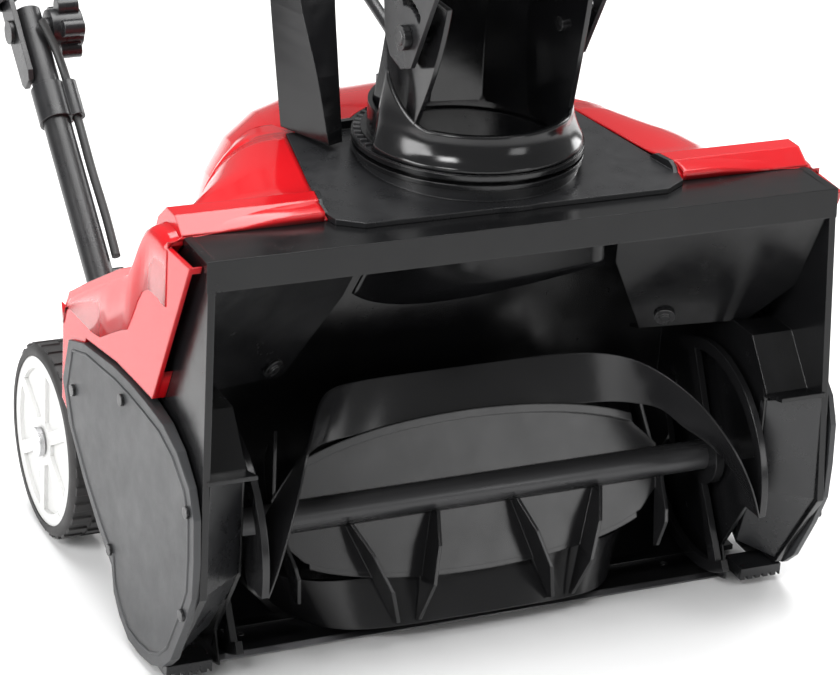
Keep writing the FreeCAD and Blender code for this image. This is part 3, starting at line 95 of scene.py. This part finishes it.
# Name, place in metres, width, power in watts, and height where it differs from the width
LAMPS = (("key_left", (-2.9, -1.2, 1.5), 1.2, 62, 1.7),
         ("overhead", (0.2, 0.1, 3.4), 3.0, 185, None),
         ("front_fill", (1.6, -3.4, 1.0), 1.0, 10, None),
         ("high_left", (-1.9, -2.3, 2.6), 0.9, 34, 0.7),
         ("rim_right", (2.8, 0.9, 1.3), 1.0, 36, 1.8))


def make_light():
    world = bpy.data.worlds.new("studio")
    bpy.context.scene.world = world
    world.use_nodes = True
    back = world.node_tree.nodes["Background"]
    back.inputs["Color"].default_value = (1, 1, 1, 1)
    back.inputs["Strength"].default_value = WORLD_STRENGTH
    middle = at(*LAMPS_AIM)
    for name, where, size, power, tall in LAMPS:
        area(name, where, middle, size, power, tall=tall)
    view = bpy.context.scene.view_settings
    view.view_transform = "Standard"
    view.look = "None"
    view.exposure = 0.0


def make_floor():
    mesh = bpy.data.meshes.new("floor")
    reach = 9                # metres from the middle to each side
    corners = [(-reach, -reach, 0), (reach, -reach, 0), (reach, reach, 0), (-reach, reach, 0)]
    mesh.from_pydata(corners, [], [(0, 1, 2, 3)])
    floor = bpy.data.objects.new("floor", mesh)
    floor.location.z = -0.0005
    bpy.context.scene.collection.objects.link(floor)
    mat = bpy.data.materials.new("floor")
    mat.use_nodes = True
    shader = mat.node_tree.nodes["Principled BSDF"]
    shader.inputs["Base Color"].default_value = (0.93, 0.93, 0.93, 1)
    shader.inputs["Roughness"].default_value = 0.6
    mesh.materials.append(mat)


# ---------------------------------------------------------------- materials

def add_node(mat, kind):
    return mat.node_tree.nodes.new(kind)


def moulded(name, colour, rough, grain=0.25, grain_size=1400.0, vary=0.25, wear=0.3, metal=0.0,
            coat=0.0, edge=0.0012, wear_colour=None, streak=(1, 1, 1), scuff=0.15, spec=0.5):
    """A surface with mottled colour, fine grain, scuffs, softened edges and worn corners."""
    mat = bpy.data.materials.new(name)
    mat.use_nodes = True
    link = mat.node_tree.links.new
    shader = mat.node_tree.nodes["Principled BSDF"]
    shader.inputs["Metallic"].default_value = metal
    shader.inputs["Coat Weight"].default_value = coat
    shader.inputs["Coat Roughness"].default_value = 0.06
    shader.inputs["Specular IOR Level"].default_value = spec
    where = add_node(mat, "ShaderNodeTexCoord")
    stretch = add_node(mat, "ShaderNodeMapping")
    stretch.inputs["Scale"].default_value = streak
    link(where.outputs["Object"], stretch.inputs["Vector"])

    def noise(scale, detail, roughness=0.5):
        node = add_node(mat, "ShaderNodeTexNoise")
        node.inputs["Scale"].default_value = scale
        node.inputs["Detail"].default_value = detail
        node.inputs["Roughness"].default_value = roughness
        link(stretch.outputs["Vector"], node.inputs["Vector"])
        return node.outputs["Fac"]

    def ramp(value, low, high, out_low, out_high):
        node = add_node(mat, "ShaderNodeMapRange")
        node.inputs["From Min"].default_value = low
        node.inputs["From Max"].default_value = high
        node.inputs["To Min"].default_value = out_low
        node.inputs["To Max"].default_value = out_high
        link(value, node.inputs["Value"])
        return node.outputs["Result"]

    def mix(fac, a, b):
        node = add_node(mat, "ShaderNodeMix")
        node.data_type = "RGBA"
        link(fac, node.inputs["Factor"])
        for socket, value in ((node.inputs["A"], a), (node.inputs["B"], b)):
            if isinstance(value, tuple):
                socket.default_value = (*value, 1)
            else:
                link(value, socket)
        return node.outputs["Result"]

    darker = tuple(c * (1 - vary) for c in colour)
    lighter = tuple(min(1.0, c * (1 + vary) + 0.004 * vary) for c in colour)
    blotch = ramp(noise(9.0, 4.0), 0.35, 0.65, 0.0, 1.0)
    body = mix(blotch, darker, lighter)
    # worn, rubbed edges: where the softened normal leaves the true one
    soft = add_node(mat, "ShaderNodeBevel")
    soft.samples = 4
    soft.inputs["Radius"].default_value = edge
    true = add_node(mat, "ShaderNodeNewGeometry")
    dot = add_node(mat, "ShaderNodeVectorMath")
    dot.operation = "DOT_PRODUCT"
    link(soft.outputs["Normal"], dot.inputs[0])
    link(true.outputs["Normal"], dot.inputs[1])
    corner = ramp(dot.outputs["Value"], 0.99, 0.86, 0.0, wear)
    patchy = add_node(mat, "ShaderNodeMath")
    patchy.operation = "MULTIPLY"
    link(corner, patchy.inputs[0])
    link(ramp(noise(120.0, 5.0), 0.4, 0.6, 0.2, 1.0), patchy.inputs[1])
    worn = wear_colour or tuple(min(1.0, c * 2.2 + 0.03) for c in colour)
    body = mix(patchy.outputs["Value"], body, worn)
    link(body, shader.inputs["Base Color"])
    # roughness: broad handling marks and fine scuffs
    marks = ramp(noise(38.0, 6.0, 0.65), 0.3, 0.7, -scuff, scuff)
    sum_rough = add_node(mat, "ShaderNodeMath")
    sum_rough.operation = "ADD"
    sum_rough.use_clamp = True
    sum_rough.inputs[1].default_value = rough
    link(marks, sum_rough.inputs[0])
    link(sum_rough.outputs["Value"], shader.inputs["Roughness"])
    bump = add_node(mat, "ShaderNodeBump")
    bump.inputs["Strength"].default_value = grain
    bump.inputs["Distance"].default_value = 0.0002
    link(noise(grain_size, 3.0), bump.inputs["Height"])
    link(soft.outputs["Normal"], bump.inputs["Normal"])
    link(bump.outputs["Normal"], shader.inputs["Normal"])
    return mat


def make_materials():
    return {
        "black": moulded("black_satin_plastic", (0.013, 0.0133, 0.0145), 0.3, grain=0.25, vary=0.12,
                         scuff=0.08, wear=0.35),
        # inside of the housing: the black plastic with a darker base colour and weaker specular,
        # painted shade for the hollow; its lower roughness is the glossy finish
        "inside": moulded("black_inner_plastic", (0.006, 0.0061, 0.0066), 0.22, spec=0.35,
                          grain=0.1, vary=0.08, scuff=0.07, wear=0.3),
        "cover": moulded("black_cover_plastic", (0.03, 0.031, 0.033), 0.42, grain=0.5, vary=0.15,
                         scuff=0.06, wear=0.4),
        "gloss": moulded("black_gloss_plastic", (0.006, 0.0061, 0.0067), 0.15, grain=0.12, vary=0.2,
                         scuff=0.06, wear=0.3),
        "red": moulded("red_gloss_plastic", (0.5, 0.005, 0.009), 0.16, grain=0.03, vary=0.05,
                       coat=0.25, scuff=0.05, wear=0.12, grain_size=500.0, edge=0.002,
                       wear_colour=(0.8, 0.06, 0.05)),
        "rubber": moulded("paddle_rubber", (0.01, 0.01, 0.0107), 0.2, grain=0.15, vary=0.1,
                          scuff=0.03, wear=0.25, grain_size=900.0, spec=0.45),
        "tyre": moulded("tyre_rubber", (0.022, 0.021, 0.021), 0.62, grain=0.8, vary=0.4, scuff=0.1,
                        wear=0.3, grain_size=700.0),
        "lead": moulded("lead_rubber", (0.015, 0.015, 0.015), 0.45, grain=0.4, vary=0.2, scuff=0.1),
        "foam": moulded("grip_foam", (0.02, 0.02, 0.021), 0.85, grain=1.0, vary=0.3, scuff=0.05,
                        grain_size=900.0, wear=0.1),
        "white": moulded("white_hub_plastic", (0.62, 0.62, 0.61), 0.35, grain=0.2, vary=0.05,
                         scuff=0.1, wear=0.25, wear_colour=(0.55, 0.54, 0.5)),
        "tube": moulded("black_powder_coat", (0.014, 0.014, 0.015), 0.3, grain=0.55, vary=0.2,
                        scuff=0.07, wear=0.4, grain_size=1100.0, wear_colour=(0.2, 0.2, 0.2)),
        "steel": moulded("zinc_steel", (0.55, 0.55, 0.56), 0.3, grain=0.3, vary=0.2, metal=1.0,
                         scuff=0.12, wear=0.2, streak=(0.15, 1, 1)),
        "dark_steel": moulded("dark_steel", (0.12, 0.12, 0.125), 0.4, grain=0.4, vary=0.3, metal=1.0,
                              scuff=0.15, wear=0.6, wear_colour=(0.5, 0.5, 0.5),
                              streak=(0.1, 1, 1)),
        "alloy": moulded("cast_alloy", (0.45, 0.45, 0.46), 0.45, grain=0.9, vary=0.15, metal=1.0,
                         scuff=0.1, wear=0.3, grain_size=500.0),
        "screw": moulded("black_screw", (0.02, 0.02, 0.021), 0.28, grain=0.3, vary=0.3, metal=0.4,
                         scuff=0.1, wear=0.6, wear_colour=(0.3, 0.3, 0.3)),
        "shaft": moulded("auger_shaft_steel", (0.045, 0.045, 0.047), 0.3, grain=0.35, vary=0.3,
                         metal=0.3, scuff=0.12, wear=0.5, streak=(0.12, 1, 1)),
    }


LOOKS = {
    # these parts take the material with painted shade for the housing's hollow
    "inside": ("auger_housing", "baffle_left", "baffle_right", "throat_sleeve"),
    "black": ("mouth_corner_left", "mouth_corner_right", "toe_skid_left", "toe_skid_right",
              "chute_deck", "chute_ring_gear", "deflector", "deflector_knob", "cable_clip",
              "switch_box", "fold_knob_left", "fold_knob_right", "crank_knob", "bail_bracket",
              "crank_bracket", "power_inlet", "crank_pinion"),
    "cover": ("belt_cover", "end_cover_right"),
    "gloss": ("carry_handle", "chute"),
    "red": ("motor_shroud", "lock_button"),
    "rubber": ("rotor_blade_a", "rotor_blade_b"),
    "lead": ("switch_lead_lower", "switch_lead_upper", "drive_belt"),
    "tyre": ("tyre_left", "tyre_right"),
    "foam": ("grip_sleeve",),
    "white": ("hub_left", "hub_right", "motor_fan"),
    "tube": ("lower_tube_left", "lower_tube_right", "upper_handle", "crank_rod", "bail_lever",
             "rear_frame"),
    "steel": ("scraper_screws", "motor_shaft", "wheel_axle", "axle_caps"),
    "screw": ("baffle_screws", "cover_screws", "fold_bolt_left", "fold_bolt_right",
              "deflector_pins"),
    "shaft": ("auger_shaft",),
    "dark_steel": ("scraper_bar", "motor", "auger_bearings"),
    "alloy": ("driven_pulley", "drive_pulley"),
}


def dress(looks):
    """Give every CAD node its material."""
    for look, names in LOOKS.items():
        for name in names:
            for slot in nodes[name].material_slots:
                slot.material = looks[look]


# ---------------------------------------------------------------- pieces made here

def lerp(t, table):
    """Straight-line reading of a table of (t, value) pairs."""
    if t <= table[0][0]:
        return table[0][1]
    for (t0, v0), (t1, v1) in zip(table, table[1:]):
        if t <= t1:
            return v0 + (v1 - v0) * (t - t0) / (t1 - t0)
    return table[-1][1]


def smooth_max(a, b, k):
    """The larger of a and b, rounded over a width of k where they meet."""
    h = max(0.0, min(1.0, 0.5 + 0.5 * (a - b) / k))
    return b + (a - b) * h + k * h * (1 - h)


def new_piece(name, verts, faces, material, body, smooth=True):
    """A mesh object from points in millimetres, riding on one body of the frame."""
    mesh = bpy.data.meshes.new(name)
    mesh.from_pydata([tuple(at(*v)) for v in verts], [], faces)
    work = bmesh.new()
    work.from_mesh(mesh)
    bmesh.ops.remove_doubles(work, verts=work.verts, dist=0.00002)
    bmesh.ops.recalc_face_normals(work, faces=work.faces)
    work.to_mesh(mesh)
    work.free()
    for face in mesh.polygons:
        face.use_smooth = smooth
    mesh.materials.append(material)
    piece = bpy.data.objects.new(name, mesh)
    bpy.context.scene.collection.objects.link(piece)
    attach(piece, body)
    return piece


def strip(rows):
    """Points and quads of a sheet given as equal rows of points."""
    verts = [p for row in rows for p in row]
    n = len(rows[0])
    faces = [(r * n + c, r * n + c + 1, (r + 1) * n + c + 1, (r + 1) * n + c)
             for r in range(len(rows) - 1) for c in range(n - 1)]
    return verts, faces


def tube(name, points, radius, material, body, sides=10):
    """A round bead along points, closed at both ends."""
    rows = []
    for i, p in enumerate(points):
        ahead = Vector(points[min(i + 1, len(points) - 1)]) - Vector(points[max(i - 1, 0)])
        side = ahead.cross(Vector((1, 0, 0))).normalized()
        over = ahead.cross(side).normalized()
        rows.append([tuple(Vector(p) + radius * (math.cos(a) * side + math.sin(a) * over))
                     for a in (2 * math.pi * k / sides for k in range(sides))])
    verts = [p for row in rows for p in row]
    faces = [(r * sides + c, r * sides + (c + 1) % sides, (r + 1) * sides + (c + 1) % sides,
              (r + 1) * sides + c) for r in range(len(rows) - 1) for c in range(sides)]
    faces.append(tuple(range(sides)))
    faces.append(tuple(range(len(verts) - sides, len(verts))))
    return new_piece(name, verts, faces, material, body)


# Tables over y, in mm: the hood's half width, crown and foot, the tops of its neighbours, and
# last the factor that sets how fast the fill drops away from the deck
HOOD_HALF = [(118, 172), (150, 170), (200, 165), (250, 156)]
HOOD_TOP = [(118, 322), (150, 334), (200, 344), (250, 342)]
HOOD_LOW = [(118, 200), (150, 190), (200, 180), (250, 170)]
POD_TOP = [(64, 322), (90, 297), (142, 272), (200, 238), (232, 218), (243, 198)]
RIDGE_TOP = [(60, 320), (64, 325), (66, 327.5), (72, 330.6), (80, 331.5), (92, 331), (102, 326),
             (114, 310), (126, 285), (132, 200)]
FILL_TOP = [(60, 330), (110, 331), (200, 334), (240, 330)]
FILL_FALL = [(60, 1.7e-5), (150, 1.9e-5), (180, 4.2e-5), (205, 8e-5), (224, 2.4e-4)]
RING_Y = 131.6               # the chute's axis
DECK_ROUND = 88.8            # radius of the deck's round back
DECK_REAR = 196              # where the deck's straight sides end
HOOD_BULGE = 0.55            # exponent that squares the hood's cross-section
BLEND_WIDE = 10
BLEND_TIGHT = 8


def deck_half(y):
    """Half the width of the deck's plan at y, or of its round back behind the ring."""
    if y <= DECK_REAR:
        return lerp(y, [(74, 133.6), (DECK_REAR, 108.6)])
    return math.sqrt(max(0.0, DECK_ROUND ** 2 - (y - RING_Y) ** 2))


def hood_height(x, y):
    """Height of the red skin: hood, shoulder, ridge and the fill beside the deck, blended."""
    ax = abs(x)
    half = lerp(y, HOOD_HALF)
    dome = 1.0
    if ax < half and y >= 118:
        low = lerp(y, HOOD_LOW)
        dome = low + (lerp(y, HOOD_TOP) - low) * (1 - (ax / half) ** (1 / HOOD_BULGE)) ** HOOD_BULGE
    z = smooth_max(dome, lerp(y, POD_TOP), BLEND_WIDE)
    ridge = lerp(y, RIDGE_TOP) - 8 * max(0.0, (ax - 150) / 86.0) ** 4
    z = smooth_max(z, ridge, BLEND_TIGHT)
    if y <= 224:
        beside = max(0.0, ax - min(deck_half(min(y, DECK_REAR)), 133))
        fill = lerp(y, FILL_TOP) - lerp(y, FILL_FALL) * beside ** 3.24
        z = smooth_max(z, fill, BLEND_TIGHT)
    return z + 0.5


HOOD_STATIONS = [63.7, 64, 65, 67, 70, 74, 79, 85, 91, 97, 103, 110, 118, 127, 137, 148, 160, 173,
                 186, 195.9, 196.1, 201, 206, 211, 215, 218, 220.4, 226, 231, 236, 240, 242.8]
DECK_END = 220.4             # behind this the skin spans the whole width
RIM_HEIGHT = 324.35          # just above the housing's top front rim
RIM_HALF = 236
SHOULDER_R = 9
SHOULDER_FOOT = 206.0        # the skin reaches no lower than this beside the covers
SHOULDER_DROP = 46


def harden(piece, thickness, offset):
    """Give a sheet a wall of some millimetres."""
    wall = piece.modifiers.new("wall", "SOLIDIFY")
    wall.thickness = thickness * MM
    wall.offset = offset


def hood_skin(looks):
    """The glossy red skin over the hood, the ridge and the two shoulders, round the deck."""
    for sign, name in ((-1, "hood_skin_left"), (1, "hood_skin_right")):
        rows = []
        for y in HOOD_STATIONS:
            outer = 239.9 + 0.051 * y
            inner = deck_half(y) if y < DECK_END else 0.0
            row = []
            for i in range(41):
                x = inner + (outer - SHOULDER_R - inner) * (i / 40.0)
                row.append((sign * x, y, hood_height(x, y)))
            shoulder = hood_height(outer - SHOULDER_R, y)
            for turn in (20, 40, 60, 80, 90):
                a = math.radians(turn)
                row.append((sign * (outer - SHOULDER_R + 9.2 * math.sin(a)), y,
                            shoulder - SHOULDER_R * (1 - math.cos(a))))
            foot = max(SHOULDER_FOOT, shoulder - SHOULDER_DROP)
            row.append((sign * (outer + 0.25), y, foot))
            rows.append(row)
        front = [(x, y - 0.2, RIM_HEIGHT if abs(x) < RIM_HALF else min(z, RIM_HEIGHT))
                 for x, y, z in rows[0]]
        verts, faces = strip([front] + rows)
        piece = new_piece(name, verts, faces, looks["red"], "chassis")
        harden(piece, 0.9, -1.0)


SKIRT_SIDE = 87              # degrees from the front to each end of the chute's skirt
SKIRT_OPEN = 48              # degrees each side of the front where the skirt stays low
SKIRT_FOOT = 349.0
SKIRT_TOP = 371.2
SKIRT_R = 70.7
SKIRT_INNER_R = 66.9
SKIRT_FLARE = 9.2
SKIRT_STEPS = 72
SKIRT_LEVELS = 12


def on_ring(radius, turn, z):
    """A point round the chute's axis, turn measured from the front."""
    return (radius * math.sin(turn), RING_Y - radius * math.cos(turn), z)


def chute_skirt(looks):
    """The flared skirt that joins the chute's disc to its channel, open above in front."""
    rows = []
    for i in range(SKIRT_STEPS + 1):
        turn = math.radians(-SKIRT_SIDE + 2 * SKIRT_SIDE * i / SKIRT_STEPS)
        side = abs(math.degrees(turn))
        flare = SKIRT_FLARE * min(1.0, (SKIRT_SIDE - side) / 8.0) ** 0.5
        low = side < SKIRT_OPEN
        rise = SKIRT_TOP
        if not low:
            rise += 34 * min(1.0, (side - SKIRT_OPEN) / 42.0) ** 1.4
        row = []
        for k in range(SKIRT_LEVELS + 1):
            t = k / SKIRT_LEVELS
            z = SKIRT_FOOT + (rise - SKIRT_FOOT) * t
            radius = SKIRT_R + flare * (1 - t) ** 2.6
            if z > 371:
                radius -= (z - 371) * 0.16
            row.append(on_ring(radius, turn, z))
        inward = SKIRT_INNER_R if low else radius - 1.5
        row.append(on_ring(inward, turn, z + 0.2))
        row.append(on_ring(inward, turn, z - 3.0))
        rows.append(row)
    verts, faces = strip(rows)
    piece = new_piece("chute_skirt", verts, faces, looks["gloss"], "chute_turret")
    harden(piece, 0.6, -1.0)


def throat_collar(looks):
    """The curved band behind the mouth's top edge, under the throat."""
    rows = []
    for i in range(33):
        t = -1 + 2 * i / 32.0
        low = (96 * t, 160 - 64 * t * t, 210 + 44 * t * t)
        high = (88 * t, 132 - 46 * t * t, 284 - 2 * t * t)
        rows.append([tuple(Vector(low).lerp(Vector(high), k / 6.0)) for k in range(7)])
    verts, faces = strip(rows)
    piece = new_piece("throat_collar", verts, faces, looks["gloss"], "chassis")
    harden(piece, 2.2, 0.0)


ROTOR_Y = 90.0
ROTOR_Z = 93.5


def chamber_liners(looks):
    """Curved side plates that close the rotor's chamber against its round rear wall."""
    for sign, name in ((-1, "chamber_liner_left"), (1, "chamber_liner_right")):
        rows = []
        for i in range(41):
            turn = math.radians(-20 + 125 * i / 40.0)
            ring = [(ROTOR_Y + radius * math.sin(turn), ROTOR_Z - radius * math.cos(turn))
                    for radius in (50.0, 94.2)]
            rows.append([(sign * x, y, max(z, 0.9)) for x in (198.0, 199.4) for y, z in ring])
        verts = [p for row in rows for p in row]
        faces = []
        for r in range(len(rows) - 1):
            a, b = r * 4, r * 4 + 4
            for c, d in ((0, 1), (1, 3), (3, 2), (2, 0)):
                faces.append((a + c, a + d, b + d, b + c))
        end = len(verts) - 4
        faces += [(0, 1, 3, 2), (end, end + 1, end + 3, end + 2)]
        # the liners take the material with painted shade for the housing's hollow
        new_piece(name, verts, faces, looks["inside"], "chassis", smooth=False)


# A side cover's outline in y and z, in mm, as the CAD has it
COVER_OUTLINE = [(226, 184), (199, 193), (173, 196), (144, 199.5), (115, 200), (88, 198.5),
                 (58, 195), (34, 186), (12, 169), (3, 150), (1, 120), (2, 93), (14, 66),
                 (34, 30), (48, 17), (66, 9), (86, 6), (107, 7), (124, 17), (135, 30),
                 (140, 49), (166, 66), (194, 90), (209, 106), (224, 122), (236, 150)]
BEAD_INSET = 9.0             # from the cover's edge, towards its middle
BEAD_R = 1.3
BEAD_STEP = 6                # about the length of a piece of the bead's route


def inset_outline(points, gap):
    """An outline moved towards its middle by about gap, to a tenth of a mm, and closed."""
    cy = sum(y for y, z in points) / len(points)
    cz = sum(z for y, z in points) / len(points)
    moved = []
    for y, z in points:
        reach = math.hypot(y - cy, z - cz)
        moved.append((round(y - (y - cy) * gap / reach, 1), round(z - (z - cz) * gap / reach, 1)))
    return moved + moved[:1]


def cover_beads(looks):
    """The raised bead just inside each side cover's edge."""
    for sign, name in ((-1, "cover_bead_left"), (1, "cover_bead_right")):
        points = [Vector((sign * (241.6 + 0.05 * y), y, z))
                  for y, z in inset_outline(COVER_OUTLINE, BEAD_INSET)]
        route = []
        for a, b in zip(points, points[1:]):
            steps = max(2, int((b - a).length / BEAD_STEP))
            route += [tuple(a.lerp(b, k / steps)) for k in range(steps)]
        route.append(tuple(points[-1]))
        tube(name, route, BEAD_R, looks["cover"], "chassis")


make_camera()
make_light()
make_floor()
looks = make_materials()
dress(looks)
hood_skin(looks)
chute_skirt(looks)
throat_collar(looks)
cover_beads(looks)
chamber_liners(looks)
